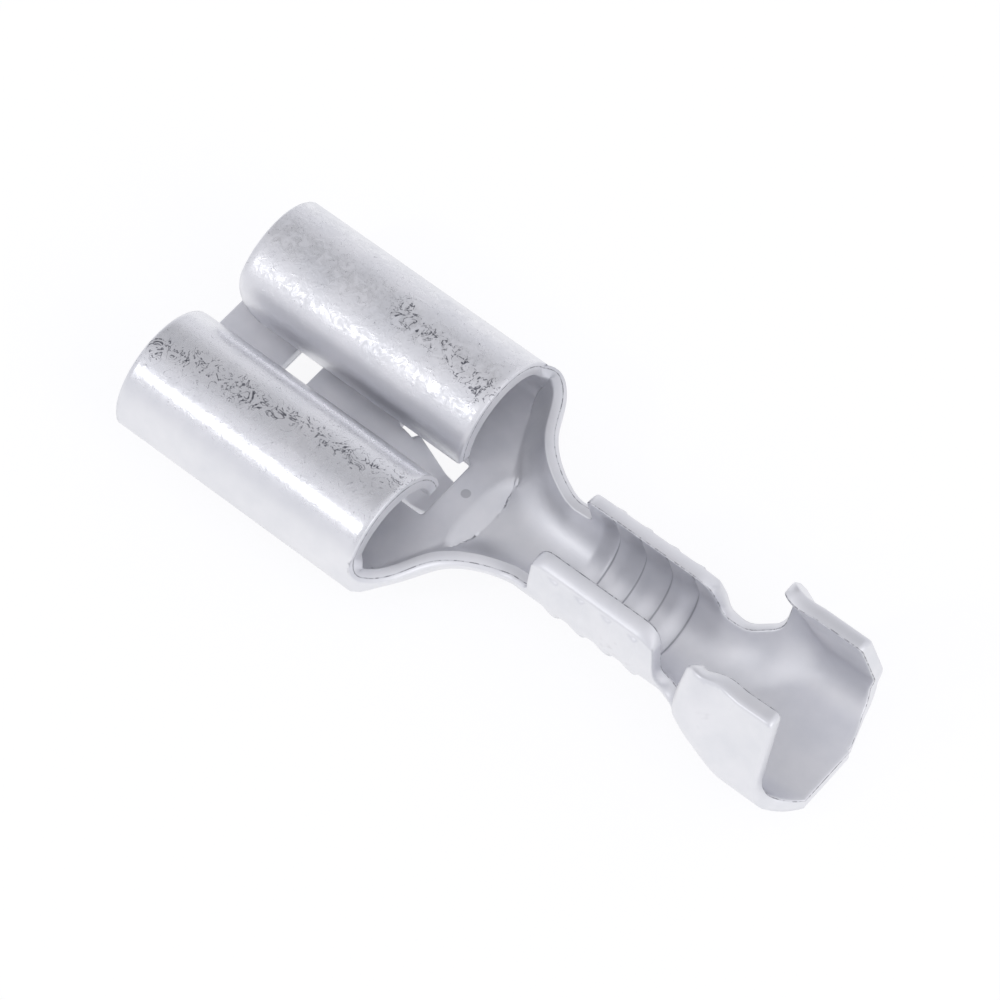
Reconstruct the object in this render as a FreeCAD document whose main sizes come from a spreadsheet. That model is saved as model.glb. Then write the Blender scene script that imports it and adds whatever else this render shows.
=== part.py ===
import FreeCAD, Part
import math
import os
import Sketcher

# Female spade terminal for a 6.3 mm blade, stamped and folded from one strip of tinned sheet.
# X runs from the mouth to the wire end, Y across, Z up.  The receptacle's rear plane is station 0
# while the part is drawn.  The finished body is then moved so that the origin lies midway along
# the part and under its lowest point, the tip of the locking lance.

SIZES = {
    "sheet_gauge": 0.38,
    "receptacle_length": 7.38,
    "receptacle_width": 7.6,
    "curl_spacing": 0.72,
    "curl_centre_rise": 0.72,
    "floor_bend_radius": 0.62,
    "blade_gap": 0.43,
    "curl_corner_radius": 1.05,
    "floor_lift": 0.12,
    "window_setback": 2.03,
    "window_length": 0.8,
    "window_width": 2.6,
    "lance_slot_length": 2.07,
    "lance_slot_width": 1.93,
    "lance_slot_shift": 0.085,
    "lance_neck_width": 1.1,
    "lance_neck_length": 0.36,
    "lance_width": 1.52,
    "lance_tip_width": 1.1,
    "lance_foot_length": 0.4,
    "lance_end_clearance": 0.3,
    "lance_drop": 0.85,
    "tool_mark_diameter": 0.28,
    "tool_mark_depth": 0.04,
    "tool_mark_station": 0.42,
    "tool_mark_offset": 0.08,
    "transition_length": 3.0,
    "ramp_start": 0.7,
    "ramp_length": 0.6,
    "wall_height": 1.42,
    "neck_width": 2.8,
    "wire_barrel_start": 3.5,
    "wire_barrel_length": 3.6,
    "wire_wing_height": 2.62,
    "wire_wing_lean": 13.0,
    "wire_tip_bevel": 0.3,
    "groove_width": 0.45,
    "groove_depth": 0.11,
    "groove_pitch": 0.79,
    "groove_count": 4,
    "groove_first": 3.85,
    "rib_height": 0.05,
    "rib_top": 1.9,
    "waist_height": 0.95,
    "insulation_start": 8.5,
    "insulation_length": 2.4,
    "insulation_width": 4.5,
    "insulation_bend_radius": 1.15,
    "insulation_wing_height": 3.66,
    "insulation_wing_lean": 16.0,
    "insulation_tip_bevel": 0.14,
    "wing_stagger": 0.4,
    "tail_setback": 0.6,
    "tab_width": 1.68,
    "tab_length": 0.26,
    "tab_shift": 0.38,
}

doc = FreeCAD.newDocument("female_spade_terminal")
sheet = doc.addObject("Spreadsheet::Sheet", "sizes")
for row, (alias, value) in enumerate(SIZES.items(), start=1):
    sheet.set("A%d" % row, alias)
    sheet.set("B%d" % row, str(value))
    sheet.setAlias("B%d" % row, alias)
doc.recompute()


def size(alias):
    return float(sheet.get(alias))


def point(across, up):
    return FreeCAD.Vector(across, up, 0)


body = doc.addObject("PartDesign::Body", "terminal")
body.Label = "folded_terminal"
PLANES = {feature.Role: feature for feature in body.Origin.OriginFeatures}


def sketch_on(plane, name, outlines, offset=None):
    """Closed outlines (lists of Part curves), held where the sizes put them, on an origin plane."""
    drawing = body.newObject("Sketcher::SketchObject", name)
    drawing.AttachmentSupport = [(PLANES[plane], "")]
    drawing.MapMode = "FlatFace"
    if offset:
        drawing.setExpression(".AttachmentOffset.Base.z", offset)
    for outline in outlines:
        drawing.addGeometry(outline, False)
    for index in range(drawing.GeometryCount):
        drawing.addConstraint(Sketcher.Constraint("Block", index))
    return drawing


def rounded_outline(corners):
    """Lines through corner points (across, up, radius), with an arc in each corner that has a radius."""
    entries = []
    exits = []
    arcs = []
    count = len(corners)
    for index, (across, up, radius) in enumerate(corners):
        here = point(across, up)
        before = point(*corners[index - 1][:2])
        after = point(*corners[(index + 1) % count][:2])
        back = (before - here).normalize()
        ahead = (after - here).normalize()
        half_angle = back.getAngle(ahead) / 2
        if radius <= 0:
            entries.append(here)
            exits.append(here)
            arcs.append(None)
            continue
        reach = radius / math.tan(half_angle)
        middle = (back + ahead).normalize()
        centre = here + middle * (radius / math.sin(half_angle))
        entries.append(here + back * reach)
        exits.append(here + ahead * reach)
        arcs.append(centre - middle * radius)
    curves = []
    for index in range(count):
        if arcs[index] is not None:
            curves.append(Part.Arc(entries[index], arcs[index], exits[index]))
        following = (index + 1) % count
        if exits[index].distanceToPoint(entries[following]) > 1e-6:
            curves.append(Part.LineSegment(exits[index], entries[following]))
    return curves


def arc_about(centre, radius, start, end):
    """Arc about a centre from one angle to another, in degrees, in either sense."""
    angles = [math.radians(a) for a in (start, (start + end) / 2, end)]
    ends = [centre + point(math.cos(a), math.sin(a)) * radius for a in angles]
    return Part.Arc(*ends)


def line(start, end):
    return Part.LineSegment(start, end)


def turned(curve):
    """The same curve, drawn from its other end."""
    if isinstance(curve, Part.LineSegment):
        return Part.LineSegment(curve.EndPoint, curve.StartPoint)
    middle = curve.value((curve.FirstParameter + curve.LastParameter) / 2)
    return Part.Arc(curve.EndPoint, middle, curve.StartPoint)


def mirrored(curve):
    """The curve reflected across the mid-plane, turned so that a chain still runs on."""
    def flip(place):
        return point(-place.x, place.y)
    if isinstance(curve, Part.LineSegment):
        return Part.LineSegment(flip(curve.EndPoint), flip(curve.StartPoint))
    middle = curve.value((curve.FirstParameter + curve.LastParameter) / 2)
    return Part.Arc(flip(curve.EndPoint), flip(middle), flip(curve.StartPoint))


def receptacle_half(inset):
    """Right half of the folded section at a depth into the sheet, from mid-floor to the free edge."""
    lift = size("floor_lift")
    gauge = size("sheet_gauge")
    half_width = size("receptacle_width") / 2
    bend = size("floor_bend_radius")
    curl = (size("receptacle_width") - size("curl_spacing")) / 4
    curl_centre = point(half_width - curl, lift + size("curl_centre_rise"))
    bend_centre = point(half_width - bend, lift + bend)
    free_edge = lift + gauge + size("blade_gap")
    bend_end = bend_centre + point(bend - inset, 0)
    curl_start = curl_centre + point(curl - inset, 0)
    curl_stop = 180 - math.degrees(math.asin((free_edge - curl_centre.y) / (curl - gauge)))
    return [
        line(point(0, lift + inset), bend_centre + point(0, inset - bend)),
        arc_about(bend_centre, bend - inset, -90, 0),
        line(bend_end, curl_start),
        arc_about(curl_centre, curl - inset, 0, curl_stop),
    ]


def trough_section(half_width, bend, lift, lean, top):
    """Closed U section: flat middle, round corners, and walls that lean inwards up to a height."""
    gauge = size("sheet_gauge")
    centre = point(half_width - bend, lift + bend)
    along_wall = point(-math.sin(math.radians(lean)), math.cos(math.radians(lean)))
    wall = (top - centre.y) / along_wall.y
    half = {}
    for inset in (0.0, gauge):
        radius = bend - inset
        wall_foot = centre + point(math.cos(math.radians(lean)), math.sin(math.radians(lean))) * radius
        half[inset] = [
            arc_about(centre, radius, -90, lean),
            line(wall_foot, wall_foot + along_wall * wall),
        ]
    outer = half[0.0]
    inner = half[gauge]
    outer_floor = line(point(-centre.x, lift), point(centre.x, lift))
    inner_floor = line(point(centre.x, lift + gauge), point(-centre.x, lift + gauge))
    outline = [outer_floor] + outer
    outline.append(line(outer[-1].EndPoint, inner[-1].EndPoint))
    outline += [turned(curve) for curve in reversed(inner)]
    outline.append(inner_floor)
    outline += [turned(mirrored(curve)) for curve in inner]
    left_inner = outline[-1].EndPoint
    left_outer = mirrored(outer[-1]).StartPoint
    outline.append(line(left_inner, left_outer))
    outline += [mirrored(curve) for curve in reversed(outer)]
    return outline


def smooth(share):
    share = min(max(share, 0.0), 1.0)
    return share * share * (3 - 2 * share)


def flare(share):
    """How much of the receptacle's extra width is left, from 1 at its rear plane to 0 at the neck."""
    return (1 - share ** 4) ** 0.5 / (1 + (share / 0.44) ** 3.75)


def volume_now():
    return 0.0 if body.Shape.isNull() else body.Shape.Volume


def add_feature(kind, name, drawing, **settings):
    """A Pad or Pocket of a sketch; a value that starts with = is a formula of the sheet."""
    before = volume_now()
    feature = body.newObject("PartDesign::" + kind, name)
    feature.Profile = (drawing, [""])
    for setting, value in settings.items():
        if isinstance(value, str) and value.startswith("="):
            feature.setExpression(setting, value[1:])
        else:
            setattr(feature, setting, value)
    doc.recompute()
    change = volume_now() - before
    if (change if kind == "Pad" else -change) <= 0:
        raise RuntimeError("%s changed nothing" % name)
    return feature


# The receptacle: floor, side walls and the two rolled curls, in one folded profile
outer_half = receptacle_half(0.0)
inner_half = receptacle_half(size("sheet_gauge"))
profile = outer_half + [line(outer_half[-1].EndPoint, inner_half[-1].EndPoint)]
profile += [turned(curve) for curve in reversed(inner_half)]
profile += [turned(mirrored(curve)) for curve in inner_half]
left_tip = profile[-1].EndPoint
profile.append(line(left_tip, mirrored(outer_half[-1]).StartPoint))
profile += [mirrored(curve) for curve in reversed(outer_half)]
receptacle_sketch = sketch_on("YZ_Plane", "receptacle_profile", [profile], "-sizes.receptacle_length")
add_feature("Pad", "receptacle", receptacle_sketch, Length="=sizes.receptacle_length")

# The free edges of both curls have a round corner at the mouth
corner_front = -size("receptacle_length") - 0.04
corner_low = size("floor_lift") + size("sheet_gauge") + size("blade_gap") - 0.03
corner_radius = size("curl_corner_radius")
corner = rounded_outline([
    (corner_front - 0.5, corner_low + corner_radius + 0.2, 0),
    (corner_front, corner_low + corner_radius + 0.2, 0),
    (corner_front, corner_low, corner_radius),
    (corner_front + corner_radius + 0.2, corner_low, 0),
    (corner_front + corner_radius + 0.2, corner_low - 0.1, 0),
    (corner_front - 0.5, corner_low - 0.1, 0),
])
corner_sketch = sketch_on("XZ_Plane", "curl_corner_outline", [corner])
add_feature("Pocket", "curl_corners", corner_sketch, Length=2.6, SideType="Symmetric")


# The transition and both barrels: U sections lofted along the part, walls left tall for trimming
wire_start = size("wire_barrel_start")
wire_end = wire_start + size("wire_barrel_length")
insulation_start = size("insulation_start")
insulation_end = insulation_start + size("insulation_length")
tail_end = insulation_end + size("tail_setback")
part_end = tail_end + size("tab_length")
transition = size("transition_length")
neck_half = size("neck_width") / 2
receptacle_half_width = size("receptacle_width") / 2
SPARE_WALL = 0.5
BARREL_FLAT = 0.01


def transition_station(share):
    half_width = neck_half + (receptacle_half_width - neck_half) * flare(share)
    flat = receptacle_half_width - size("floor_bend_radius") - BARREL_FLAT
    flat = BARREL_FLAT + flat * (1 - share ** 1.25) ** 4
    down_ramp = (share * transition - size("ramp_start")) / size("ramp_length")
    lift = size("floor_lift") * (1 - smooth(down_ramp))
    lean = size("wire_wing_lean") * (0.55 + 0.45 * share)
    return half_width, half_width - flat, lift, lean, size("wall_height") + SPARE_WALL


def insulation_station(place):
    """Section of the waist and the insulation barrel, whose floor bends tighten towards the tail."""
    opening = smooth((place - waist_start) / (insulation_start + 0.5 - waist_start))
    settling = smooth((place - insulation_start + 0.4) / 2.2)
    half_width = neck_half + (size("insulation_width") / 2 - neck_half) * opening
    flat = size("insulation_width") / 2 - size("insulation_bend_radius") - BARREL_FLAT
    bend = half_width - BARREL_FLAT - flat * settling
    lean = size("insulation_wing_lean") + 15 * (bend - size("insulation_bend_radius"))
    lean = size("wire_wing_lean") + (lean - size("wire_wing_lean")) * opening
    top = size("wire_wing_height") + SPARE_WALL
    top += (size("insulation_wing_height") - size("wire_wing_height")) * opening
    return half_width, bend, 0.0, lean, top


def loft(name, stations):
    """Loft through U sections given as (place along the part, section sizes)."""
    drawings = []
    for number, (place, section) in enumerate(stations):
        drawing = sketch_on("YZ_Plane", "%s_section_%d" % (name, number), [trough_section(*section)])
        drawing.AttachmentOffset = FreeCAD.Placement(FreeCAD.Vector(0, 0, place), FreeCAD.Rotation())
        drawings.append(drawing)
    feature = body.newObject("PartDesign::AdditiveLoft", name)
    feature.Profile = (drawings[0], [""])
    feature.Sections = [(drawing, [""]) for drawing in drawings[1:]]
    feature.Ruled = False
    doc.recompute()
    return feature


TRANSITION_SHARES = (0.0, 0.08, 0.16, 0.24, 0.32, 0.4, 0.49, 0.6, 0.73, 0.86, 1.0)
loft("transition", [(transition * share, transition_station(share)) for share in TRANSITION_SHARES])

neck_section = transition_station(1.0)[:4] + (size("wire_wing_height") + SPARE_WALL,)
waist_start = wire_end + 0.3
loft("wire_barrel", [(transition, neck_section), (waist_start, neck_section)])

WAIST_SHARES = (0.0, 0.3, 0.65, 1.0)
BARREL_SHARES = (0.0, 0.35, 0.7, 1.0)
barrel_start = insulation_start + 0.5
waist = [waist_start + (barrel_start - waist_start) * share for share in WAIST_SHARES]
barrel = [barrel_start + (tail_end - barrel_start) * share for share in BARREL_SHARES]
loft("waist", [(place, insulation_station(place)) for place in waist])
loft("insulation_barrel", [(place, insulation_station(place)) for place in barrel])


# The wings and the low edges between them, trimmed in side view; one side's wings sit further back
ABOVE = 6.0
BEHIND = 2.0


def edge_outline(stagger, tail):
    """What is cut away above the sheet's edge, in side view (along the part, up, corner radius)."""
    wall = size("wall_height")
    waist_up = size("waist_height")
    wire_top = size("wire_wing_height")
    insulation_top = size("insulation_wing_height")
    wire_front = wire_start
    wire_rear = wire_end + 0.25 * stagger
    insulation_front = insulation_start + stagger
    insulation_rear = insulation_end + stagger
    dip = wall - 0.2
    corners = [
        (0.0, ABOVE, 0),
        (0.0, wall, 0.35),
        (0.4 * transition, wall, 2.0),
        (0.9 * transition, dip, 1.2),
        (wire_front, dip + 0.2, 0.2),
        (wire_front, wire_top, 0.38),
        (wire_rear, wire_top, 0.5),
        (wire_rear + 0.25, waist_up + 0.3, 0.5),
        ((wire_rear + insulation_front) / 2, waist_up, 0.5),
        (insulation_front - 0.15, waist_up + 0.25, 0.35),
        (insulation_front, insulation_top, 0.3),
        (insulation_rear, insulation_top, 0.18),
    ]
    ends = [(tail[-1][0], -1.0, 0), (part_end + BEHIND, -1.0, 0), (part_end + BEHIND, ABOVE, 0)]
    return rounded_outline(corners + tail + ends)


def cut_side(name, outline, towards):
    """Pocket an outline of the side view through one wall, towards -1 or +1 across the part."""
    drawing = sketch_on("XZ_Plane", name + "_outline", [outline])
    return add_feature("Pocket", name, drawing, Length="=sizes.receptacle_width", Reversed=towards < 0)


stagger = size("wing_stagger")
near_tail = [
    (insulation_end, 0.8, 0.2),
    (insulation_end + 0.4, size("sheet_gauge") + 0.07, 0),
    (tail_end - 0.01, size("sheet_gauge") + 0.01, 0),
]
far_tail = [
    (insulation_end + stagger, 0.8, 0.2),
    (insulation_end + stagger + 0.12, size("sheet_gauge") + 0.01, 0),
]
cut_side("near_edge", edge_outline(0.0, near_tail), -1)
cut_side("far_edge", edge_outline(stagger, far_tail), 1)


def wall_face(section, inset, up):
    """How far across a section's leaning wall lies at a height, at a depth into the sheet."""
    half_width, bend, lift, lean, top = section
    angle = math.radians(lean)
    rise = up - lift - bend
    return half_width - bend + (bend - inset - rise * math.sin(angle)) / math.cos(angle)


def bevel_tips(name, section, top, bevel, start, length):
    """Slope both wing tips down and outwards, so that they curl inwards when they are crimped."""
    inner = wall_face(section, size("sheet_gauge"), top)
    reach = 1.0
    fall = reach * bevel / size("sheet_gauge")
    outer = inner + reach
    edge = [(inner, top, 0), (outer, top - fall, 0), (outer, top + reach, 0), (inner, top + reach, 0)]
    other = [(-across, up, 0) for across, up, radius in edge]
    drawing = sketch_on("YZ_Plane", name + "_outline", [rounded_outline(edge), rounded_outline(other)], start)
    return add_feature("Pocket", name, drawing, Length="=" + length, Reversed=True)


bevel_tips("wire_tip_bevels", neck_section, size("wire_wing_height"), size("wire_tip_bevel"),
           "sizes.wire_barrel_start - 0.2", "sizes.wire_barrel_length + 0.6")
bevel_tips("insulation_tip_bevels", insulation_station(tail_end), size("insulation_wing_height"),
           size("insulation_tip_bevel"), "sizes.insulation_start - 0.2",
           "sizes.insulation_length + sizes.wing_stagger + 0.4")

# Window and lance slot in the floor, cut downwards from between the floor and the curls' edges
UNDER_CURLS = "sizes.floor_lift + sizes.sheet_gauge + sizes.blade_gap / 2"
DEEP = 3.0
floor_top = size("floor_lift") + size("sheet_gauge")
mouth = -size("receptacle_length")
window_front = mouth + size("window_setback")
window_rear = window_front + size("window_length")
slot_near = -size("lance_slot_shift") - size("lance_slot_width") / 2
slot_far = -size("lance_slot_shift") + size("lance_slot_width") / 2
slot_rear = -0.02
slot_front = slot_rear - size("lance_slot_length")


def box_outline(start, end, near, far, radius):
    return rounded_outline([(start, near, 0), (end, near, radius), (end, far, radius), (start, far, 0)])


window_half = size("window_width") / 2
openings = [
    box_outline(window_front, window_rear, -window_half, window_half, 0),
    box_outline(slot_front, slot_rear, slot_near, slot_far, 0.15),
]
openings_sketch = sketch_on("XY_Plane", "floor_openings", openings, UNDER_CURLS)
add_feature("Pocket", "window_and_slot", openings_sketch, Length=DEEP)

# The locking lance: a strip bent down out of the slot, with a level foot at its free end
lance_end = slot_rear - size("lance_end_clearance")
foot_start = lance_end - size("lance_foot_length")
drop = size("lance_drop")
gauge = size("sheet_gauge")
slope = math.atan2(drop, foot_start - slot_front)
knee = gauge * math.tan(slope / 2)
root = slot_front - gauge
lance_side = [
    (root, floor_top, 0),
    (slot_front, floor_top, 0.3),
    (foot_start, floor_top - drop, 0.1),
    (lance_end, floor_top - drop, 0),
    (lance_end, floor_top - drop - gauge, 0),
    (foot_start - knee, floor_top - drop - gauge, 0.3),
    (slot_front - knee, floor_top - gauge, 0.1),
    (root, floor_top - gauge, 0),
]
lance_sketch = sketch_on("XZ_Plane", "lance_side", [rounded_outline(lance_side)])
add_feature("Pad", "lance", lance_sketch, Length="=sizes.lance_width + 0.1", SideType="Symmetric")

neck_end = slot_front + size("lance_neck_length")


def waste_outline(side, edge):
    """What is cut away beside the lance, on the side +1 or -1, out to the slot's edge."""
    return rounded_outline([
        (slot_front, side * size("lance_neck_width") / 2, 0.08),
        (neck_end, side * size("lance_neck_width") / 2, 0.08),
        (neck_end, side * size("lance_width") / 2, 0.08),
        (lance_end + 0.1, side * size("lance_tip_width") / 2, 0),
        (lance_end + 0.1, edge, 0),
        (slot_front, edge, 0),
    ])


waste = [waste_outline(1, slot_far), waste_outline(-1, slot_near)]
waste_sketch = sketch_on("XY_Plane", "lance_outline", waste, UNDER_CURLS)
add_feature("Pocket", "lance_sides", waste_sketch, Length=DEEP)

# A shallow round tool mark on the transition's floor
mark_centre = point(size("tool_mark_station"), size("tool_mark_offset"))
mark = Part.Circle(mark_centre, FreeCAD.Vector(0, 0, 1), size("tool_mark_diameter") / 2)
mark_sketch = sketch_on("XY_Plane", "tool_mark_outline", [[mark]], "sizes.floor_lift + sizes.sheet_gauge")
add_feature("Pocket", "tool_mark", mark_sketch, Length="=sizes.tool_mark_depth")


def barrel_line(inset, top):
    """Open U along the wire barrel's wall at a depth into the sheet, from one wing to the other."""
    half_width, bend, lift, lean, spare = neck_section
    centre = point(half_width - bend, lift + bend)
    across = wall_face(neck_section, inset, top)
    angle = math.radians(lean)
    foot = centre + point(math.cos(angle), math.sin(angle)) * (bend - inset)
    half = [arc_about(centre, bend - inset, -90, lean), line(foot, point(across, top))]
    floor = line(point(-centre.x, lift + inset), point(centre.x, lift + inset))
    return [mirrored(curve) for curve in reversed(half)] + [floor] + half


def closed_band(first, second):
    """Outline between two open lines that run the same way."""
    ends = [line(first[-1].EndPoint, second[-1].EndPoint), line(second[0].StartPoint, first[0].StartPoint)]
    return first + ends[:1] + [turned(curve) for curve in reversed(second)] + ends[1:]


# Serrations in the wire barrel: each is pressed from inside, so it also stands out as a low rib
groove_top = size("wire_wing_height") - size("wire_tip_bevel") - 0.1
groove = barrel_line(gauge - size("groove_depth"), groove_top)
groove.append(line(groove[-1].EndPoint, groove[0].StartPoint))
rib_outer = barrel_line(-size("rib_height"), size("rib_top"))
rib_inner = barrel_line(gauge / 2, size("rib_top"))
rib = closed_band(rib_outer, rib_inner)
rib_sketch = sketch_on("YZ_Plane", "rib_outline", [rib], "sizes.groove_first")
rib_pad = add_feature("Pad", "rib", rib_sketch, Length="=sizes.groove_width")
groove_sketch = sketch_on("YZ_Plane", "groove_outline", [groove], "sizes.groove_first")
groove_pocket = add_feature("Pocket", "groove", groove_sketch, Length="=sizes.groove_width", Reversed=True)
pattern = body.newObject("PartDesign::LinearPattern", "serrations")
pattern.Originals = [rib_pad, groove_pocket]
pattern.Direction = (PLANES["X_Axis"], [""])
pattern.Mode = "Spacing"
pattern.setExpression("Offset", "sizes.groove_pitch")
pattern.setExpression("Occurrences", "sizes.groove_count")
body.Tip = pattern
doc.recompute()

# The tab left where the terminal was sheared off its carrier strip
tab_half = size("tab_width") / 2
tab_near = -size("tab_shift") - tab_half
tab_far = -size("tab_shift") + tab_half
tab_root = tail_end - gauge
tab = rounded_outline([
    (tab_root, tab_near, 0),
    (part_end, tab_near, 0.06),
    (part_end, tab_far, 0.06),
    (tab_root, tab_far, 0),
])
tab_sketch = sketch_on("XY_Plane", "tab_outline", [tab])
add_feature("Pad", "carrier_tab", tab_sketch, Length="=sizes.sheet_gauge")

# The origin goes midway along the part, under the lance's foot
body.setExpression("Placement.Base.x", "(sizes.receptacle_length - sizes.insulation_start"
                   " - sizes.insulation_length - sizes.tail_setback - sizes.tab_length) / 2")
body.setExpression("Placement.Base.z", "sizes.lance_drop - sizes.floor_lift")
doc.recompute()

for item in doc.Objects:
    if "Invalid" in item.State or "Error" in item.State:
        raise RuntimeError("%s did not build: %s" % (item.Name, item.State))
if body.Shape.isNull() or not body.Shape.isValid() or len(body.Shape.Solids) != 1:
    raise RuntimeError("the folded terminal is not one valid solid")

os.makedirs("parts", exist_ok=True)
body.Shape.exportStep("parts/%s.step" % body.Label)
box = body.Shape.BoundBox
print("folded_terminal: %.2f x %.2f x %.2f mm" % (box.XLength, box.YLength, box.ZLength))
print("volume %.2f mm3, %d faces" % (body.Shape.Volume, len(body.Shape.Faces)))
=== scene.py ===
# %% [markdown]
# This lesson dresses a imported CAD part, a female spade terminal: one strip of thin
# tin-plated brass, stamped flat and then folded. The finished piece that we build rides
# on its body and stands in for its one node.

# %% Load the frame
import math

import bpy
import numpy as np
from mathutils import Matrix, Vector
from mathutils.geometry import delaunay_2d_cdt


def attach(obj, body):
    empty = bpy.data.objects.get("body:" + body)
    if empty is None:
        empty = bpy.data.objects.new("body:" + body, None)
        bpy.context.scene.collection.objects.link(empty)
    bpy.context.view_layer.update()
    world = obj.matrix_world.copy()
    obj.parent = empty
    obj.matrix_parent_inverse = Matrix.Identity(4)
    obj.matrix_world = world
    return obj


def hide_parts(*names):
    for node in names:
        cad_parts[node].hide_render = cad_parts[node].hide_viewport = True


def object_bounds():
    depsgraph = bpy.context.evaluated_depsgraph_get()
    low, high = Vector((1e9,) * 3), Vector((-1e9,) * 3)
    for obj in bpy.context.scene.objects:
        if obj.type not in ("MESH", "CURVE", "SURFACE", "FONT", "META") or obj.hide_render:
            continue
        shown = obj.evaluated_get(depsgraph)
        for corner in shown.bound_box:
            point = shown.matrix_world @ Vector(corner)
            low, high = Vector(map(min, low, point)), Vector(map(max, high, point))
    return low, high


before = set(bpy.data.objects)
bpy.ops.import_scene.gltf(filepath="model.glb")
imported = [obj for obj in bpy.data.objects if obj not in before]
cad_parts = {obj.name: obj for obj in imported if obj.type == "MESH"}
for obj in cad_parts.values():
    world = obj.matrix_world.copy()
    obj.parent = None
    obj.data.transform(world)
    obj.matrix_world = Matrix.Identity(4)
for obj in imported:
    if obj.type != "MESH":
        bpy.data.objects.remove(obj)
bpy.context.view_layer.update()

# %% [markdown]
# The part is drawn in millimetres, in the order in which it is stamped. Station 0 along
# the part is the rear plane of the receptacle. ORIGIN is where station 0 lies in the CAD frame.

# %% Sizes in millimetres
MM = 0.001
ORIGIN = np.array([-2.19, 0.0, 0.73])
GAUGE = 0.38
MOUTH, TAB_END = -7.38, 11.76
FLOOR_LIFT = 0.12
RECEPTACLE_HALF, NECK_HALF, INSULATION_HALF = 3.8, 1.4, 2.25
FLOOR_BEND, CURL_RADIUS, INSULATION_BEND = 0.62, 1.72, 1.15
CURL_RISE = 0.72
BLADE_GAP = 0.43
FLARE_LEAN = 14.0
TRANSITION = 3.0
# The shoulder's width along the transition, from 1 at the receptacle to 0 at the neck
FLARE = [(0.0, 1.0), (0.1, 1.0), (0.2, 0.98), (0.26, 0.93), (0.31, 0.82), (0.36, 0.655), (0.41, 0.52),
         (0.47, 0.415), (0.58, 0.283), (0.71, 0.165), (0.83, 0.08), (0.92, 0.03), (1.0, 0.0)]
FLOOR_FADE = 1.25
WALL_TOP, WAIST_TOP, WIRE_TOP, INSULATION_TOP = 1.42, 0.95, 2.62, 3.627
WIRE_START, WIRE_END = 3.5, 7.1
INSULATION_START, INSULATION_END = 8.5, 10.9
# The insulation barrel's floor widens in a shorter run than its walls do
SETTLE_AFTER, SETTLE_RUN = 0.1, 1.4
STAGGER = 0.4
# Degrees by which the walls lean out, and by how much more where the bend is still wide
WIRE_LEAN, INSULATION_LEAN, LEAN_SLACK = 13.0, 16.0, 15
UNCURL_RUN = 0.7
# Where the wings' and walls' tips are coined: how far in from the tip, and how steeply
COINED_WIDTH, WIRE_COIN, INSULATION_COIN = 0.5, 0.26, 0.14
# The crescent facet pressed into the shoulder, beside the slot: its centre and half width
FACET_SHIFT, FACET_HALF = 0.15, 1.25
print("length over all:", round(TAB_END - MOUTH, 2), "mm; sheet", GAUGE, "mm")

# %% [markdown]
# Across the part, each section of the folded sheet is a flat floor, a bend, a straight
# wall, and in the receptacle a second, larger bend, the curl. So a section is a few numbers
# that change along the part, and one function of the distance across the flat strip, which
# press tool makers call the blank, gives the folded place. Folding code like this keeps the
# sheet's width true, as a press does, where a loft between outlines would stretch it.

# %% How the section changes along the part


def smooth(share):
    """An even step from 0 to 1, level at both ends."""
    share = np.clip(share, 0.0, 1.0)
    return share * share * (3 - 2 * share)


fine_share = np.linspace(-0.2, 1.2, 701)
fine_flare = np.interp(fine_share, *np.array(FLARE).T)
for _ in range(3):
    fine_flare = np.convolve(np.pad(fine_flare, 12, "edge"), np.ones(25) / 25, "valid")


def section(along):
    """Flat half, first bend (radius, angle), wall and second bend radius, all for the mid-sheet."""
    along = np.asarray(along, float)
    share = np.clip(along / TRANSITION, 0.0, 1.0)
    opening = np.clip((along - WIRE_END - 0.3) / (INSULATION_START + 0.25 - WIRE_END), 0.0, 1.0)
    settling = smooth((along - INSULATION_START - SETTLE_AFTER) / SETTLE_RUN)
    half = NECK_HALF + (RECEPTACLE_HALF - NECK_HALF) * np.interp(share, fine_share, fine_flare)
    half = half + (INSULATION_HALF - NECK_HALF) * smooth(opening)
    flat = (RECEPTACLE_HALF - FLOOR_BEND) * (1 - share ** FLOOR_FADE) ** 4
    flat = flat + (INSULATION_HALF - INSULATION_BEND) * settling
    radius = half - flat - GAUGE / 2
    lean = WIRE_LEAN * smooth((along - 2.5) / 1.0)
    lean = lean - FLARE_LEAN * smooth(along / 0.4) * smooth((3.1 - along) / 1.0)
    slack = LEAN_SLACK * (half - flat - INSULATION_BEND)
    lean = lean + (INSULATION_LEAN + slack - WIRE_LEAN) * smooth(opening)
    uncurl = smooth(along / UNCURL_RUN)
    curl = (CURL_RADIUS - GAUGE / 2) / np.maximum(1 - uncurl, 1e-3)
    return flat, radius, np.radians(90 + lean), CURL_RISE - FLOOR_BEND, curl


CURL_SWEEP = math.pi - math.asin((BLADE_GAP + GAUGE - CURL_RISE) / (CURL_RADIUS - GAUGE))


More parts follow.
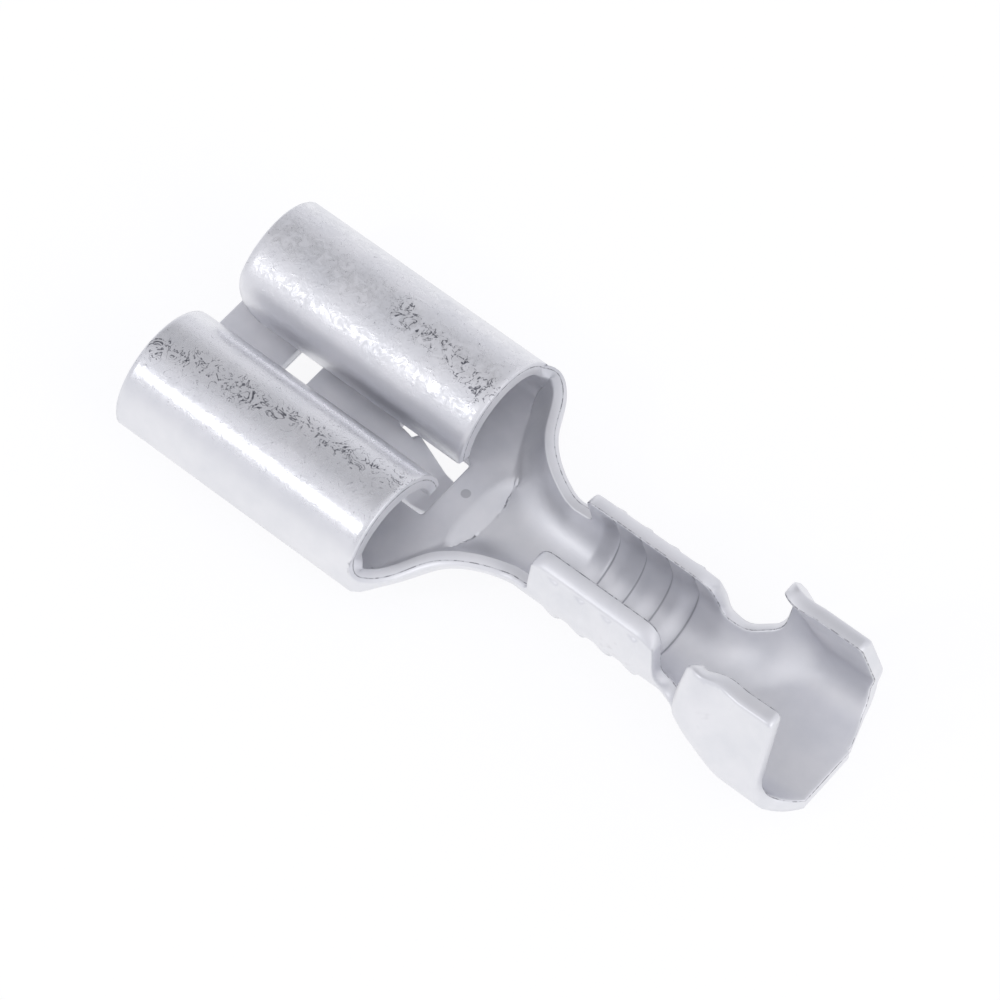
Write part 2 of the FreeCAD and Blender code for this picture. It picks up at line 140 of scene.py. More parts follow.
def fold(along, across):
    """Where a point of the flat mid-sheet goes when the strip is folded.

    The floor is lifted a little up to the crescent facet, whose front and rear edges curve.
    """
    flat, radius, turn, wall, curl = section(along)
    off_centre = np.abs(across + FACET_SHIFT) / FACET_HALF
    front = 0.74 + 0.3 * np.minimum(off_centre, 1.2) ** 4
    rear = np.maximum(1.34 - 0.25 * off_centre ** 2, front + 0.07)
    facet = np.clip((along - front) / (rear - front), 0.0, 1.0)
    beside = smooth((off_centre - 0.85) / 0.35)
    lift = FLOOR_LIFT * (1 - facet + beside * (facet - smooth((along - 0.4) / 1.6)))
    side = np.sign(across)
    run = np.abs(across) - flat
    first = np.clip(run, 0, radius * turn) / radius
    straight = np.clip(run - radius * turn, 0, wall)
    second = np.maximum(run - radius * turn - wall, 0) / curl
    out = np.minimum(np.abs(across), flat) + radius * np.sin(first) + straight * np.cos(turn)
    out = out + curl * (np.sin(turn + second) - np.sin(turn))
    up = radius * (1 - np.cos(first)) + straight * np.sin(turn)
    up = up + curl * (np.cos(turn) - np.cos(turn + second))
    return np.stack([along + 0 * across, side * out, up + lift + GAUGE / 2], axis=-1)


CURL_LENGTH = float(RECEPTACLE_HALF - FLOOR_BEND + (FLOOR_BEND - GAUGE / 2) * math.pi / 2
                    + CURL_RISE - FLOOR_BEND + (CURL_RADIUS - GAUGE / 2) * CURL_SWEEP)
print("width of the flat blank at the receptacle:", round(2 * CURL_LENGTH, 2), "mm")

# %% [markdown]
# The blank's outline is easiest to give as heights of the folded edge, read from a side
# view, and to turn those into distances across the strip. Corners get their arcs first.

# %% Rounded outlines


def rounded(corners, closed=True, step=0.11):
    """Points at most a step apart along an outline of (along, up, radius) corners, with their arcs."""
    path = []
    last = len(corners) - 1
    for index, (x, y, radius) in enumerate(corners):
        here = Vector((x, y))
        if radius <= 0 or (not closed and index in (0, last)):
            path.append(here)
            continue
        back = (Vector(corners[index - 1][:2]) - here).normalized()
        ahead = (Vector(corners[(index + 1) % len(corners)][:2]) - here).normalized()
        half = back.angle(ahead) / 2
        centre = here + (back + ahead).normalized() * (radius / math.sin(half))
        start = here + back * (radius / math.tan(half)) - centre
        sweep = math.pi - 2 * half
        if back.x * ahead.y - back.y * ahead.x > 0:
            sweep = -sweep
        pieces = max(3, math.ceil(abs(sweep) * radius / step), math.ceil(abs(sweep) / 0.3))
        for piece in range(pieces + 1):
            path.append(centre + Matrix.Rotation(sweep * piece / pieces, 2) @ start)
    spaced = []
    for index, here in enumerate(path[:None if closed else -1]):
        ahead = path[(index + 1) % len(path)]
        pieces = math.ceil((ahead - here).length / step - 1e-6)
        spaced += [tuple(here.lerp(ahead, piece / pieces)) for piece in range(pieces)]
    return np.array(spaced if closed else spaced + [tuple(path[-1])])


def across_at(along, up):
    """Distance across the flat strip at which the folded sheet reaches a height."""
    strip = np.linspace(0.0, 7.0, 1401)
    heights = fold(np.full_like(strip, along), strip)[:, 2]
    top = int(np.argmax(heights)) + 1
    return float(np.interp(up, heights[:top], strip[:top]))


def side_outline(stagger, mouth, tail):
    """One side of the blank, from the mouth to the tail's given corners, as (along, across)."""
    wire_rear = WIRE_END + 0.25 * stagger
    front = INSULATION_START + stagger
    rear = INSULATION_END + stagger
    heights = [
        (0.0, 2.0, 0),
        (0.0, WALL_TOP - 0.04, 0.25),
        (0.4 * TRANSITION, WALL_TOP, 1.5),
        (0.9 * TRANSITION, WALL_TOP - 0.2, 1.2),
        (WIRE_START, WALL_TOP - 0.1, 0.12),
        (WIRE_START, WIRE_TOP, 0.38 - 0.3 * stagger),
        (wire_rear, WIRE_TOP, 0.5),
        (wire_rear + 0.25, WAIST_TOP + 0.3, 0.5),
        ((wire_rear + front) / 2, WAIST_TOP, 0.5),
        (front - 0.15, WAIST_TOP + 0.25, 0.35),
        (front, INSULATION_TOP - 0.06, 0.3),
        (rear, INSULATION_TOP, 0.16),
        (rear + 0.05, 1.5, 0),
    ]
    edge = np.array([(x, across_at(x, up)) for x, up in rounded(heights, closed=False)])
    corners = [(MOUTH, 3.5, 0), (mouth, CURL_LENGTH, 1.0), (0.0, CURL_LENGTH, 0.1), (*edge[0], 0)]
    curl = rounded(corners, closed=False)
    return np.vstack([curl[:-1], edge, rounded([(*edge[-1], 0)] + tail, closed=False)[1:]])


near_tail = [(11.02, 2.6, 0.4), (11.25, 1.95, 0.3), (TAB_END, 1.22, 0.03), (TAB_END, 1.1, 0)]
far_tail = [(11.26, 2.3, 0.4), (11.42, 1.45, 0.5), (11.7, 0.62, 0.06), (11.7, 0.5, 0)]
near_side = side_outline(0.0, MOUTH + 0.03, near_tail) * np.array([1, -1])
far_side = side_outline(STAGGER, MOUTH + 0.12, far_tail)
tab = np.array([(TAB_END, 0.46), (TAB_END, 0.3)])
print("edge points:", len(near_side), "and", len(far_side))

# %% [markdown]
# The floor has two openings: a small window, and a slot in which a tongue, the locking
# lance, stays joined at its front. The lance's outline is part of the slot's.

# %% The whole outline and the openings


def joined(*paths):
    """One closed outline from open paths, with straight stretches between them filled in."""
    corners = np.vstack(paths)
    return rounded([(x, y, 0) for x, y in corners])


LANCE_ROOT, LANCE_END, LANCE_HALF = -2.09, -0.32, 0.55
SLOT_REAR, SLOT_FAR, SLOT_NEAR = -0.02, 0.88, -1.05
WINDOW_FRONT, WINDOW_REAR, WINDOW_HALF = -5.37, -4.57, 1.3
outline = joined(far_side, tab, near_side[::-1])
window = rounded([(WINDOW_FRONT, -WINDOW_HALF, 0.06), (WINDOW_REAR, -WINDOW_HALF, 0.06),
                  (WINDOW_REAR, WINDOW_HALF, 0.06), (WINDOW_FRONT, WINDOW_HALF, 0.06)])
half_lance = [(LANCE_END, LANCE_HALF, 0.1), (-1.73, 0.76, 0.1), (-1.73, LANCE_HALF, 0.06),
              (LANCE_ROOT, LANCE_HALF, 0.06)]
other_half = [(x, -y, radius) for x, y, radius in half_lance[::-1]]
slot = rounded(half_lance + [(LANCE_ROOT, SLOT_FAR, 0.08), (SLOT_REAR, SLOT_FAR, 0.22),
                             (SLOT_REAR, SLOT_NEAR, 0.08), (LANCE_ROOT, SLOT_NEAR, 0.08)] + other_half)
print("outline, window and slot have", len(outline), len(window), len(slot), "points")

# %% [markdown]
# The flat plate is meshed in two faces of fine triangles that run in line with the folds,
# and a rim of five narrow strips, which gives every cut edge the small rounding that a real
# edge has and that catches the light. A constrained triangulation keeps the outline exact.

# %% The flat blank
EDGE, ROLL = 0.05, 0.12
FINE_STEP, MIDDLE_STEP, COARSE_STEP, CURL_STEP, ROW_STEP = 0.045, 0.09, 0.12, 0.16, 0.105


def area(loop):
    """The area inside a loop, positive when it runs anticlockwise."""
    x, y = loop[:, 0], loop[:, 1]
    return 0.5 * float(np.sum(x * np.roll(y, -1) - y * np.roll(x, -1)))


def inset(loop, amount):
    """The loop moved sideways, to the left of the way it runs."""
    ahead = np.roll(loop, -1, axis=0) - loop
    ahead /= np.linalg.norm(ahead, axis=1)[:, None]
    left = np.stack([-ahead[:, 1], ahead[:, 0]], axis=1)
    both = left + np.roll(left, 1, axis=0)
    both /= np.maximum(np.sum(both * both, axis=1), 0.8)[:, None] / 2
    return loop + amount * both


def inside(points, loop):
    """Which points lie inside a closed loop, by counting crossings."""
    result = np.zeros(len(points), bool)
    x, y = points[:, 0], points[:, 1]
    for (x0, y0), (x1, y1) in zip(loop, np.roll(loop, -1, axis=0)):
        crosses = (y0 > y) != (y1 > y)
        result ^= crosses & (x < (x1 - x0) * (y - y0) / (y1 - y0 + 1e-30) + x0)
    return result


loops = [outline if area(outline) > 0 else outline[::-1]]
loops += [loop if area(loop) < 0 else loop[::-1] for loop in (window, slot)]
rims = [inset(loop, EDGE) for loop in loops]

# The columns lie closest where the crescent facet and the serrations are
stretches = [(MOUTH, 0.0, CURL_STEP), (0.0, 0.6, MIDDLE_STEP), (0.6, 1.5, FINE_STEP),
             (1.5, WIRE_START, MIDDLE_STEP), (WIRE_START, WIRE_END + 0.1, FINE_STEP),
             (WIRE_END + 0.1, TAB_END, COARSE_STEP)]
columns = np.concatenate([np.arange(*stretch) for stretch in stretches])
rows = np.arange(-CURL_LENGTH, CURL_LENGTH, ROW_STEP)
lattice = np.stack(np.meshgrid(columns, rows), axis=-1).reshape(-1, 2)
room = [inset(loop, EDGE + FINE_STEP) for loop in loops]
inner = inside(lattice, room[0]) & ~inside(lattice, room[1]) & ~inside(lattice, room[2])
lattice = lattice[inner]

places = np.vstack(rims + [lattice])
borders = []
first = 0
for loop in rims:
    borders += [(first + i, first + (i + 1) % len(loop)) for i in range(len(loop))]
    first += len(loop)
found, _, triangles, *_ = delaunay_2d_cdt([Vector(p) for p in places], borders, [], 0, 1e-7)
flat_places = np.array([tuple(p) for p in found])
triangles = np.array(triangles)
middles = flat_places[triangles].mean(axis=1)
filled = inside(middles, rims[0]) & ~inside(middles, rims[1]) & ~inside(middles, rims[2])
triangles = triangles[filled]
print("triangles on each face:", len(triangles), "points:", len(flat_places), "of", len(places))

# %% [markdown]
# Both faces share the triangulation: the outer face lies at height 0 and the inner one at
# the sheet's thickness. The rim strips join them round each loop.

# %% Thickness and rounded edges
assert np.allclose(flat_places[:first], places[:first], atol=1e-5)
count = len(flat_places)
verts = [np.column_stack([flat_places, np.full(count, height)]) for height in (0.0, GAUGE)]
faces = [triangles[:, ::-1], triangles + count]
outer_steps = [(0.3, 0.25 * ROLL), (0.0, ROLL)]
inner_steps = [(0.0, GAUGE - 0.035), (0.3, GAUGE - 0.01)]
total = 2 * count
start = 0
for loop in loops:
    size = len(loop)
    ring = np.arange(size)
    strips = [start + ring]
    for out, up in outer_steps + inner_steps:
        verts.append(np.column_stack([inset(loop, out * EDGE), np.full(size, up)]))
        strips.append(total + ring)
        total += size
    strips.append(count + start + ring)
    for low, high in zip(strips, strips[1:]):
        low_on, high_on = np.roll(low, -1), np.roll(high, -1)
        faces += [np.column_stack([low, low_on, high_on]), np.column_stack([low, high_on, high])]
    start += size
verts = np.vstack(verts)
faces = np.vstack(faces)
print("the blank has", len(verts), "points and", len(faces), "triangles")


def mesh_object(name, points, triangles):
    mesh = bpy.data.meshes.new(name)
    mesh.from_pydata(points.tolist(), [], triangles.tolist())
    mesh.validate()
    made = bpy.data.objects.new(name, mesh)
    bpy.context.scene.collection.objects.link(made)
    return made


blank = mesh_object("blank", verts, faces)

# %% [markdown]
# Four serrations cross the wire barrel, so that its wings bite the strands. A punch presses
# each from inside: a slope that deepens towards the wire end and then stops short, with a low
# bulge outside. They repeat, so Geometry Nodes press them into the flat blank: a node tree is
# the same rule for every groove, and its pitch or count can be changed in one place.

# %% Press the serrations with Geometry Nodes


def add(tree, kind, settings, *values, **named):
    """Add a node, set its properties, give its inputs values or links, and return its outputs."""
    node = tree.nodes.new(kind)
    for key, value in settings.items():
        setattr(node, key, value)
    inputs = list(zip(node.inputs, values))
    inputs += [(node.inputs[name.replace("_", " ")], value) for name, value in named.items()]
    for socket, value in inputs:
        if isinstance(value, bpy.types.NodeSocket):
            tree.links.new(value, socket)
        elif value is not None:
            socket.default_value = value
    return node.outputs


MULTIPLY, DIVIDE, SUBTRACT = {"operation": "MULTIPLY"}, {"operation": "DIVIDE"}, {"operation": "SUBTRACT"}
SCALE_ADD, ABSOLUTE, LARGER = {"operation": "MULTIPLY_ADD"}, {"operation": "ABSOLUTE"}, {"operation": "MAXIMUM"}
ABOVE, BELOW, NEAR = {"operation": "GREATER_THAN"}, {"operation": "LESS_THAN"}, {"operation": "COMPARE"}
EASE = {"interpolation_type": "SMOOTHSTEP"}
press = bpy.data.node_groups.new("press_serrations", "GeometryNodeTree")
press.interface.new_socket("Geometry", in_out="INPUT", socket_type="NodeSocketGeometry")
press.interface.new_socket("Geometry", in_out="OUTPUT", socket_type="NodeSocketGeometry")
SERRATION_START, SERRATION_PITCH, SERRATION_WIDTH = 3.84, 0.79, 0.56
# Where the first serration stops short
FIRST_STOP = 4.37
SERRATIONS = {"First": SERRATION_START, "Pitch": SERRATION_PITCH, "Count": 4.0, "Width": SERRATION_WIDTH,
              "Groove depth": 0.13, "Rib height": 0.07, "Gauge": GAUGE, "Reach": 3.0}
identifiers = {}
for name, value in SERRATIONS.items():
    socket = press.interface.new_socket(name, in_out="INPUT", socket_type="NodeSocketFloat")
    socket.default_value = value
    identifiers[name] = socket.identifier
given = add(press, "NodeGroupInput", {})
place = add(press, "ShaderNodeSeparateXYZ", {}, add(press, "GeometryNodeInputPosition", {})[0])
beyond = add(press, "ShaderNodeMath", SUBTRACT, place[0], given["First"])[0]
beat = add(press, "ShaderNodeMath", DIVIDE, beyond, given["Pitch"])[0]
begun = add(press, "ShaderNodeMath", ABOVE, beat, 0.0)[0]
going = add(press, "ShaderNodeMath", BELOW, beat, given["Count"])[0]
since = add(press, "ShaderNodeMath", {"operation": "FRACT"}, beat)[0]
since = add(press, "ShaderNodeMath", MULTIPLY, since, given["Pitch"])[0]
share = add(press, "ShaderNodeMath", DIVIDE, since, given["Width"])[0]
slope = add(press, "ShaderNodeMapRange", EASE, share, 0.0, 0.84)[0]
stop = add(press, "ShaderNodeMapRange", EASE, share, 1.0, 0.88)[0]
fade_from = add(press, "ShaderNodeMath", SUBTRACT, given["Reach"], 0.35)[0]
sideways = add(press, "ShaderNodeMath", ABSOLUTE, place[1])[0]
fade = add(press, "ShaderNodeMapRange", EASE, sideways, given["Reach"], fade_from)[0]
pulse = add(press, "ShaderNodeMath", MULTIPLY, slope, stop)[0]
for limit in (begun, going, fade):
    pulse = add(press, "ShaderNodeMath", MULTIPLY, pulse, limit)[0]
depth = add(press, "ShaderNodeMath", DIVIDE, place[2], given["Gauge"])[0]
deeper = add(press, "ShaderNodeMath", SUBTRACT, given["Groove depth"], given["Rib height"])[0]
travel = add(press, "ShaderNodeMath", SCALE_ADD, deeper, depth, given["Rib height"])[0]
down = add(press, "ShaderNodeMath", MULTIPLY, pulse, travel)[0]
down = add(press, "ShaderNodeMath", MULTIPLY, down, -1.0)[0]
offset = add(press, "ShaderNodeCombineXYZ", {}, 0.0, 0.0, down)[0]
moved = add(press, "GeometryNodeSetPosition", {}, given["Geometry"], Offset=offset)[0]
tin = bpy.data.materials.new("electroplated_tin_on_brass")
real = add(press, "GeometryNodeRealizeInstances", {}, moved)[0]
add(press, "NodeGroupOutput", {}, add(press, "GeometryNodeSetMaterial", {}, real, Material=tin)[0])

modifier = blank.modifiers.new("serrations", "NODES")
modifier.node_group = press
for name, value in SERRATIONS.items():
    modifier[identifiers[name]] = value
pressed = bpy.data.meshes.new_from_object(blank.evaluated_get(bpy.context.evaluated_depsgraph_get()))
blank.modifiers.clear()
flat = np.empty(len(pressed.vertices) * 3)
pressed.vertices.foreach_get("co", flat)
flat = flat.reshape(-1, 3)
bpy.data.objects.remove(blank)
print("deepest press in mm:", round(float(-flat[:, 2].min()), 3))

# %% [markdown]
# Now the strip is folded. The tips of the wings are coined to a slope first, and the lance is
# bent down. Each point then goes to its place on the folded mid-sheet, and from there along
# the sheet's own normal, so the sheet is equally thick all over, in the bends too.

# %% Fold the blank
LANCE_DROP = 0.85
LANCE_REACH = 0.82
lance_run = np.linspace(-2.2, 0.0, 441)
lance_slope = smooth((lance_run - LANCE_ROOT) / 0.3) * (1 - smooth((lance_run + 0.92) / 0.34))
lance_fall = np.cumsum(lance_slope)
lance_fall *= LANCE_DROP / lance_fall[-1]


def coined(points):
    """Slope the wing tips: the outer face ends lower than the inner one."""
    x, y, z = points.T
    wire = (x > WIRE_START - 0.2) & (x < WIRE_END + 0.45)
    wing = x > INSULATION_START - 0.2
    tip = np.where(wing, across_at(10.0, INSULATION_TOP), across_at(5.0, WIRE_TOP))
    slope = np.where(wire, WIRE_COIN, np.where(wing, INSULATION_COIN, 0.0))
    share = smooth((np.abs(y) - tip + COINED_WIDTH) / COINED_WIDTH)
    return np.column_stack([x, y - np.sign(y) * slope * share * (1 - z / GAUGE), z])


def mid_sheet(along, across, lance):
    """The folded mid-sheet, with the lance bent down."""
    folded = fold(along, across)
    folded[:, 2] -= np.where(lance, np.interp(along, lance_run, lance_fall), 0.0)
    return folded


def folded_points(points):
    """Where the flat blank's points go when it is folded."""
    x, y, z = coined(points).T
    lance = (np.abs(y) < LANCE_REACH) & (x > LANCE_ROOT) & (x < -0.1)
    step = 1e-3
    along = mid_sheet(x + step, y, lance) - mid_sheet(x - step, y, lance)
    across = mid_sheet(x, y + step, lance) - mid_sheet(x, y - step, lance)
    normal = np.cross(along, across)
    normal /= np.linalg.norm(normal, axis=1)[:, None]
    return mid_sheet(x, y, lance) + normal * (z - GAUGE / 2)[:, None]


terminal = mesh_object("terminal_sheet", (folded_points(flat) + ORIGIN) * MM, faces)
terminal.data.materials.append(tin)
uv = terminal.data.uv_layers.new(name="sheet")
corner_of = np.empty(len(terminal.data.loops), int)
terminal.data.loops.foreach_get("vertex_index", corner_of)
uv.data.foreach_set("uv", (flat[corner_of, :2] / 10).ravel())
outward = terminal.data.attributes.new("outward", "FLOAT", "POINT")
outward.data.foreach_set("value", 1 - verts[:, 2] / GAUGE)
terminal.data.shade_smooth()
weigh = terminal.modifiers.new("weigh", "WEIGHTED_NORMAL")
weigh.weight = 60
baked = bpy.data.meshes.new_from_object(terminal.evaluated_get(bpy.context.evaluated_depsgraph_get()))
terminal.modifiers.clear()
terminal.data = baked
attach(terminal, "root")
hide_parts("folded_terminal")
size = [round((high - low) * 1000, 2) for low, high in zip(*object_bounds())]
print("folded sheet:", len(baked.polygons), "triangles,", size, "mm")

# %% [markdown]
# The terminal is brass strip with a thin coat of electroplated tin. Tin is a soft, whitish
# metal with a matte to satin face: broad, dull reflections rather than a mirror. The marks are
# placed in millimetres from the part's own origin, so each station here is less by ORIGIN.

# %% Tin plating


def colour(code):
    """An sRGB hex colour, as Blender's linear RGBA."""
    parts = [int(code[i:i + 2], 16) / 255 for i in (1, 3, 5)]
    return [v / 12.92 if v <= 0.04045 else ((v + 0.055) / 1.055) ** 2.4 for v in parts] + [1.0]


tin.use_nodes = True
tree = tin.node_tree
tree.nodes.clear()
metres = add(tree, "ShaderNodeTexCoord", {})["Object"]
mm = add(tree, "ShaderNodeMapping", {}, metres, Scale=(1000, 1000, 1000))[0]
cloud = add(tree, "ShaderNodeTexNoise", {}, mm, Scale=0.9, Detail=3.0, Roughness=0.6)[0]
fleck = add(tree, "ShaderNodeTexNoise", {}, mm, Scale=4.0, Detail=3.0, Roughness=0.6, Distortion=1.2)[0]
grain = add(tree, "ShaderNodeTexNoise", {}, mm, Scale=16.0, Detail=2.0, Roughness=0.5)[0]
tangle = add(tree, "ShaderNodeTexNoise", {}, mm, Scale=2.4, Detail=2.5, Roughness=0.58, Distortion=2.0)[0]
spot = add(tree, "ShaderNodeSeparateXYZ", {}, mm)
outward = add(tree, "ShaderNodeAttribute", {"attribute_name": "outward"})["Fac"]
outer = add(tree, "ShaderNodeMapRange", EASE, outward, 0.9, 1.0)[0]

# Trails of scratches along the tops of the curls. Each runs at a slant, wanders a little, and
# fades to its sides. A scratch is where the tangled noise comes close to its middle value.
far = add(tree, "ShaderNodeMath", ABOVE, spot[1], 0.0)[0]
near_path = add(tree, "ShaderNodeMath", SCALE_ADD, spot[0], 0.114, -1.29)[0]
far_path = add(tree, "ShaderNodeMath", SCALE_ADD, spot[0], -0.186, 1.14)[0]
path = add(tree, "ShaderNodeMix", {}, far, None, near_path, far_path)[0]
wander = add(tree, "ShaderNodeMath", SCALE_ADD, cloud, 0.9, -0.45)[0]
aside = add(tree, "ShaderNodeMath", SUBTRACT, spot[1], path)[0]
aside = add(tree, "ShaderNodeMath", SUBTRACT, aside, wander)[0]
aside = add(tree, "ShaderNodeMath", ABSOLUTE, aside)[0]
trail = add(tree, "ShaderNodeMapRange", EASE, aside, 0.42, 0.06, 0.0, 1.0)[0]
reach = add(tree, "ShaderNodeMapRange", EASE, spot[0], -5.9, -5.2, 0.0, 1.0)[0]
near = add(tree, "ShaderNodeMath", SUBTRACT, 1.0, far)[0]
reach = add(tree, "ShaderNodeMath", LARGER, reach, near)[0]
high = add(tree, "ShaderNodeMapRange", EASE, spot[2], 2.6, 2.9)[0]
on_curls = add(tree, "ShaderNodeMapRange", EASE, spot[0], -2.1, -2.25)[0]
rubbed = add(tree, "ShaderNodeMath", MULTIPLY, high, on_curls)[0]
rubbed = add(tree, "ShaderNodeMath", MULTIPLY, rubbed, outer)[0]
line = add(tree, "ShaderNodeMath", SUBTRACT, tangle, 0.5)[0]
line = add(tree, "ShaderNodeMath", ABSOLUTE, line)[0]
width = add(tree, "ShaderNodeMath", MULTIPLY, trail, reach)[0]
width = add(tree, "ShaderNodeMapRange", {}, width, 0.0, 1.0, 0.004, 0.055)[0]
thin = add(tree, "ShaderNodeMapRange", EASE, line, width, 0.0)[0]
broken = add(tree, "ShaderNodeMapRange", EASE, fleck, 0.4, 0.52)[0]
scratch = add(tree, "ShaderNodeMath", MULTIPLY, thin, broken)[0]
scratch = add(tree, "ShaderNodeMath", MULTIPLY, scratch, rubbed)[0]

# A dark broken line on every cut edge, where stamping leaves a rough band: part of the way
# through the sheet at the receptacle, and near its inner face at the wings
wings = add(tree, "ShaderNodeMath", ABOVE, spot[0], 1.3)[0]
burr = add(tree, "ShaderNodeMapRange", {}, wings, 0.0, 1.0, 0.665, 0.07)[0]
burr = add(tree, "ShaderNodeMath", NEAR, outward, burr, 0.035)[0]
worn = add(tree, "ShaderNodeMapRange", EASE, fleck, 0.42, 0.6, 0.2, 0.7)[0]
burr = add(tree, "ShaderNodeMath", MULTIPLY, burr, worn)[0]

# One round tool mark in the shoulder, painted shade at the foot of each serration, and a few faint chips
gap = add(tree, "ShaderNodeVectorMath", {"operation": "DISTANCE"}, mm, (-1.77, 0.08, 1.23))["Value"]
mark = add(tree, "ShaderNodeMapRange", EASE, gap, 0.14, 0.11, 0.0, 0.3)[0]
# The serrations' feet are darkened in colour: painted shade where each groove's stop face lies in shadow
behind = add(tree, "ShaderNodeMath", SUBTRACT, spot[0], FIRST_STOP + float(ORIGIN[0]))[0]
behind = add(tree, "ShaderNodeMath", {"operation": "PINGPONG"}, behind, SERRATION_PITCH / 2)[0]
painted_groove_shade = add(tree, "ShaderNodeMapRange", EASE, behind, 0.06, 0.02, 0.0, 0.4)[0]
barrel = add(tree, "ShaderNodeMath", NEAR, spot[0], 3.36, 1.5)[0]
inward = add(tree, "ShaderNodeMath", BELOW, outward, 0.02)[0]
for limit in (barrel, inward):
    painted_groove_shade = add(tree, "ShaderNodeMath", MULTIPLY, painted_groove_shade, limit)[0]
chipped = add(tree, "ShaderNodeMapRange", EASE, cloud, 0.6, 0.72, 0.0, 0.25)[0]
for limit in (outer, wings):
    chipped = add(tree, "ShaderNodeMath", MULTIPLY, chipped, limit)[0]
dark = scratch
for mark_or_painted_shade in (burr, painted_groove_shade, mark, chipped):
    dark = add(tree, "ShaderNodeMath", LARGER, dark, mark_or_painted_shade)[0]

# Clean tin in two close tones, under the dark marks and the painted shade in the serrations
tone = add(tree, "ShaderNodeMapRange", {}, cloud, 0.3, 0.7, 0.0, 1.0)[0]
plate = add(tree, "ShaderNodeMix", {"data_type": "RGBA"}, Factor=tone)
mixer = plate[2].node
mixer.inputs[6].default_value = colour("#E4E5E9")
mixer.inputs[7].default_value = colour("#EDEDF0")
# The dark colour is real wear on scratches, cut edges, the tool mark and chips, and painted shade in the
# serrations' feet
marks_and_painted_shade = add(tree, "ShaderNodeMix", {"data_type": "RGBA"}, Factor=dark)
mixer = marks_and_painted_shade[2].node
tree.links.new(plate[2], mixer.inputs[6])
mixer.inputs[7].default_value = colour("#5E5F69")

# Roughness changes in flecks on the rubbed tops of the curls, and is even elsewhere
dull = add(tree, "ShaderNodeMapRange", {}, far, 0.0, 1.0, 0.32, 0.52)[0]
polish = add(tree, "ShaderNodeMapRange", {}, far, 0.0, 1.0, 0.2, 0.24)[0]
matte = add(tree, "ShaderNodeMapRange", {}, fleck, 0.35, 0.65, dull, polish)[0]
matte = add(tree, "ShaderNodeMix", {}, rubbed, None, 0.36, matte)[0]
tunnel = add(tree, "ShaderNodeMapRange", EASE, spot[0], -0.9, -2.2, 0.45, 0.78)[0]
matte = add(tree, "ShaderNodeMix", {}, outer, None, tunnel, matte)[0]

# The plating's own relief: soft flecks, and a fine grain on top
relief = add(tree, "ShaderNodeMapRange", {}, far, 0.0, 1.0, 0.25, 0.55)[0]
relief = add(tree, "ShaderNodeMapRange", {}, rubbed, 0.0, 1.0, 0.07, relief)[0]
bumps = add(tree, "ShaderNodeBump", {}, Strength=relief, Distance=0.00002, Height=fleck)[0]
fine = add(tree, "ShaderNodeBump", {}, Strength=0.09, Distance=0.00001, Height=grain, Normal=bumps)[0]
shader = add(tree, "ShaderNodeBsdfPrincipled", {}, Base_Color=marks_and_painted_shade[2], Metallic=1.0, Roughness=matte,
             Normal=fine)
add(tree, "ShaderNodeOutputMaterial", {}, shader[0])
print("material:", tin.name, "with", len(tree.nodes), "nodes")

# %% [markdown]
# A white page and soft light all round, as in a small light tent. The floor and the world are
# white to the camera and in reflections.

# %% Floor, world and lamps
FLOOR_HALF = 0.6
square = np.array([(-1, -1, 0), (1, -1, 0), (1, 1, 0), (-1, 1, 0)])
floor = mesh_object("floor", square * FLOOR_HALF, np.array([(0, 1, 2), (0, 2, 3)]))
paper = bpy.data.materials.new("white_paper")
paper.use_nodes = True
nodes = paper.node_tree
nodes.nodes.clear()
plain = add(nodes, "ShaderNodeBsdfDiffuse", {}, colour("#F0F0F2"))[0]
glow = add(nodes, "ShaderNodeEmission", {}, [1, 1, 1, 1], 0.84)[0]
shaded = add(nodes, "ShaderNodeBsdfDiffuse", {}, colour("#7A7A7E"))[0]
page = add(nodes, "ShaderNodeAddShader", {}, glow, shaded)[0]
rays = add(nodes, "ShaderNodeLightPath", {})
seen = add(nodes, "ShaderNodeMath", LARGER, rays["Is Camera Ray"], rays["Is Glossy Ray"])[0]
seen = add(nodes, "ShaderNodeMath", LARGER, seen, rays["Is Transmission Ray"])[0]
white = add(nodes, "ShaderNodeMixShader", {}, seen, plain, page)[0]
add(nodes, "ShaderNodeOutputMaterial", {}, white)
floor.data.materials.append(paper)

world = bpy.data.worlds.new("light_tent")
bpy.context.scene.world = world
world.use_nodes = True
sky = world.node_tree
sky.nodes.clear()
rays = add(sky, "ShaderNodeLightPath", {})
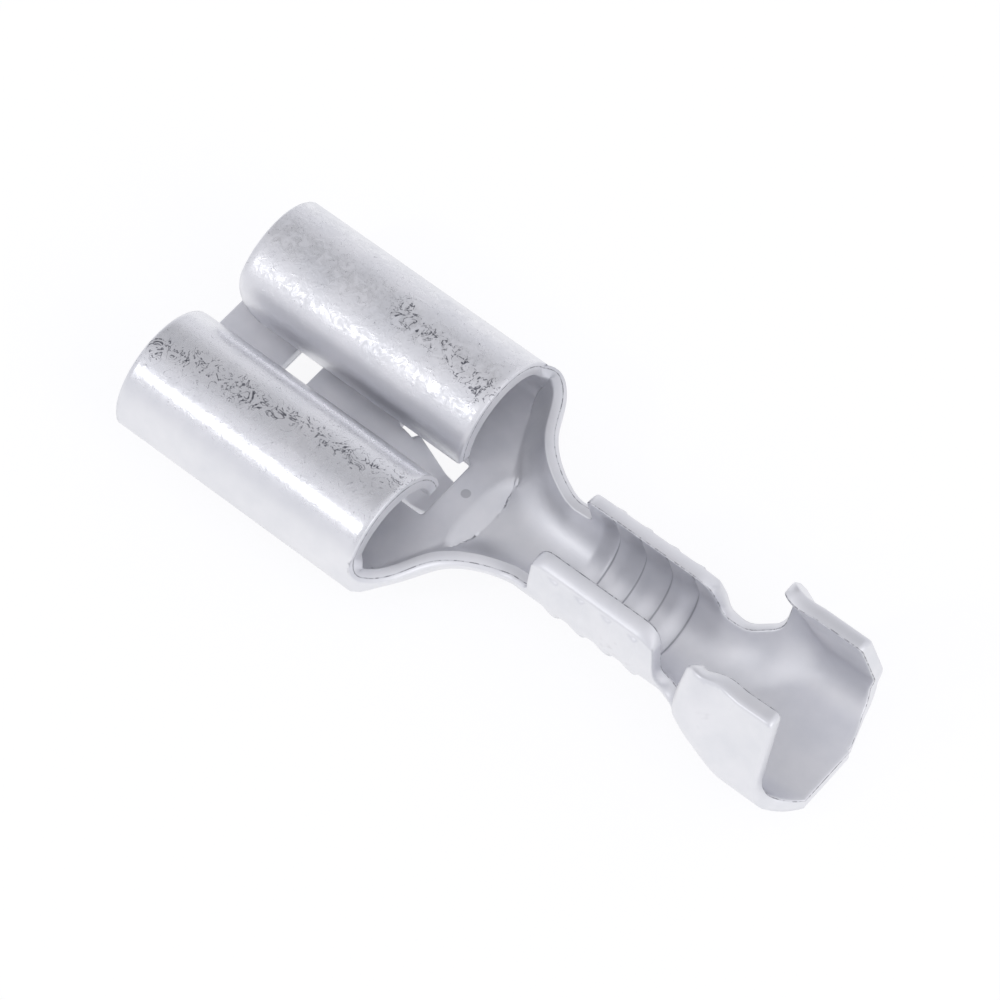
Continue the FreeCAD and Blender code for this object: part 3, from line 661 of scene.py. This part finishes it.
# The tent is a little dimmer on one side, which gives the rounded forms their shading
direction = add(sky, "ShaderNodeTexCoord", {})["Generated"]
DIM_SIDE = Vector((-0.49, 0.36, 0.79)).normalized()
towards = add(sky, "ShaderNodeVectorMath", {"operation": "DOT_PRODUCT"}, direction, DIM_SIDE)["Value"]
level = add(sky, "ShaderNodeMapRange", EASE, towards, 0.72, 0.99, 0.87, 0.56)[0]
level = add(sky, "ShaderNodeMath", LARGER, level, rays["Is Camera Ray"])[0]
tint = add(sky, "ShaderNodeMapRange", {}, rays["Is Camera Ray"], 0.0, 1.0, 0.955, 1.0)[0]
shade = add(sky, "ShaderNodeCombineColor", {}, tint, tint, 1.0)[0]
tent = add(sky, "ShaderNodeBackground", {}, shade, level)[0]
add(sky, "ShaderNodeOutputWorld", {}, tent)


def lamp(name, place, size, watts):
    """A round soft lamp that points at the part."""
    data = bpy.data.lights.new(name, "AREA")
    data.shape = "DISK"
    data.size = size
    data.energy = watts
    made = bpy.data.objects.new(name, data)
    made.location = place
    made.rotation_euler = (-Vector(place)).to_track_quat("-Z", "Y").to_euler()
    bpy.context.scene.collection.objects.link(made)


LAMP_RANGE = 0.5
lamp("key", Vector((-0.33, -0.69, 0.65)) * LAMP_RANGE, 0.045, 0.1)
lamp("fill", Vector((0.85, -0.15, 0.5)) * LAMP_RANGE, 0.3, 0.24)

# %% [markdown]
# The photograph looks steeply down on the part from its near left, through a long lens. The
# camera's turn, height and distance were fitted to edges and corners that show in it.

# %% Camera
AZIMUTH, ELEVATION = math.radians(39.8), math.radians(58.9)
DISTANCE, SHIFT_RIGHT, SHIFT_UP = 120.0, 1.193, -0.072
LENS, SENSOR = 179.3, 36.0
back = Vector((math.sin(AZIMUTH) * math.cos(ELEVATION), -math.cos(AZIMUTH) * math.cos(ELEVATION),
               math.sin(ELEVATION)))
right = Vector((math.cos(AZIMUTH), math.sin(AZIMUTH), 0.0))
up = back.cross(right)
camera = bpy.data.objects.new("camera", bpy.data.cameras.new("camera"))
camera.data.lens = LENS
camera.data.sensor_width = SENSOR
camera.data.clip_start = 0.005
camera.data.clip_end = 10.0
camera.matrix_world = Matrix((right, up, back)).transposed().to_4x4()
camera.location = (Vector(ORIGIN) + DISTANCE * back + SHIFT_RIGHT * right + SHIFT_UP * up) * MM
bpy.context.scene.collection.objects.link(camera)
bpy.context.scene.camera = camera
print("camera at", [round(v * 1000, 1) for v in camera.location], "mm")

# %% View transform
bpy.context.scene.view_settings.view_transform = "Standard"
